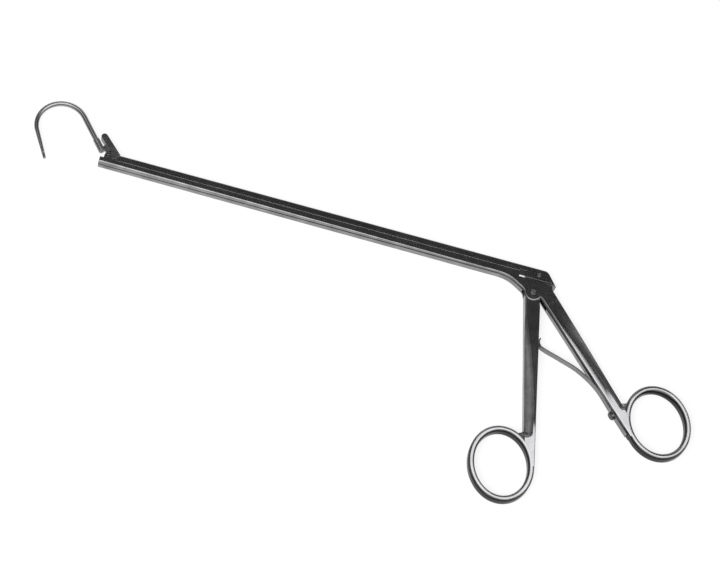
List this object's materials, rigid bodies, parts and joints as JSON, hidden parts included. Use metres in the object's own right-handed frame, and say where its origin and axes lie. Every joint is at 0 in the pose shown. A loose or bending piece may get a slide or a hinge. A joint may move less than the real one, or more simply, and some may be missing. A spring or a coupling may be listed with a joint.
{
  "type": "ligature carrier",
  "caption": "Long-shafted surgical ligature carrier: squeezing its ring handles slides the upper shaft and swings the curved hook with the suture eye.",
  "frame": {"origin": "on the axis of the handle pivot, on the broad side that the instrument lies on", "axes": "the shaft runs along X with the hook at -X, the handles point towards -Y, and +Z is the thickness, up from the surface it lies on"},
  "size_m": [0.3062, 0.1298, 0.0054],
  "materials": {
    "forged_steel": "satin",
    "slide_steel": "satin",
    "spring_steel": "polished",
    "screw_steel": "polished",
    "carrier_steel": "satin",
    "hook_steel": "polished"
  },
  "bodies": {
    "frame": {"handle_frame": "forged_steel", "handle_pivot_screw": "screw_steel", "leaf_spring": "spring_steel", "spring_screw": "screw_steel", "hook_pivot_pin": "screw_steel"},
    "lever": {"front_handle": "forged_steel"},
    "slide": {"slide_bar": "slide_steel", "slide_drive_screw": "screw_steel", "hook_drive_pin": "screw_steel"},
    "hook": {"hook_carrier": "carrier_steel", "hook_needle": "hook_steel"}
  },
  "joints": [
    {"name": "lever_squeeze", "type": "hinge", "parent": "frame", "child": "lever", "pos_m": [0, 0, 0.0026], "axis": [0, 0, 1], "range_deg": [0, 18], "stiffness_Nm_per_rad": 0.4, "springref_deg": -5.73, "deforming": ["leaf_spring"]},
    {"name": "slide_travel", "type": "slide", "parent": "frame", "child": "slide", "axis": [-1, 0, 0], "range_m": [0, 0.0028]},
    {"name": "hook_swing", "type": "hinge", "parent": "frame", "child": "hook", "pos_m": [-0.1924, 0.00986, 0.0026], "axis": [0, 0, 1], "range_deg": [0, 54.5]}
  ],
  "couplings": [
    {"joint": "slide_travel", "follows": "lever_squeeze", "m_per_rad": 0.0088},
    {"joint": "hook_swing", "follows": "lever_squeeze", "ratio": 3}
  ]
}
